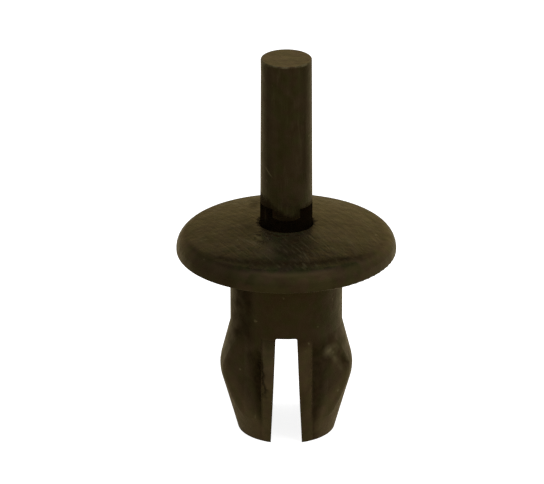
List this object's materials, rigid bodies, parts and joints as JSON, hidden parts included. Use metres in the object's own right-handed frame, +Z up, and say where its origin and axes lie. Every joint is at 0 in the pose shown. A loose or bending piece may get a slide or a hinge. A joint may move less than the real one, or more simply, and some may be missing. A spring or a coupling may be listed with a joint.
{
  "type": "plastic push rivet",
  "caption": "Moulded plastic drive rivet: domed round head, slotted shank with barbed legs, and a drive pin that is pushed in to spread them.",
  "frame": {"origin": "on the rivet's axis, in the plane of the head's flat underside, which seats on the panel", "axes": "+Z up along the pin, away from the panel; +X across the slot, through the middle of the two legs; +Y along the slot"},
  "size_m": [0.0124, 0.0124, 0.0224],
  "materials": {
    "body_plastic": "satin, very dark warm brown-olive moulded plastic with fine scuffs",
    "pin_plastic": "satin, very dark warm brown-olive moulded plastic with faint lengthwise drawing marks"
  },
  "bodies": {
    "rivet_body": {"body": "body_plastic"},
    "pin": {"drive_pin": "pin_plastic"}
  },
  "joints": [
    {"name": "pin_drive", "type": "slide", "parent": "rivet_body", "child": "pin", "axis": [0, 0, -1], "range_m": [0, 0.00983]}
  ]
}
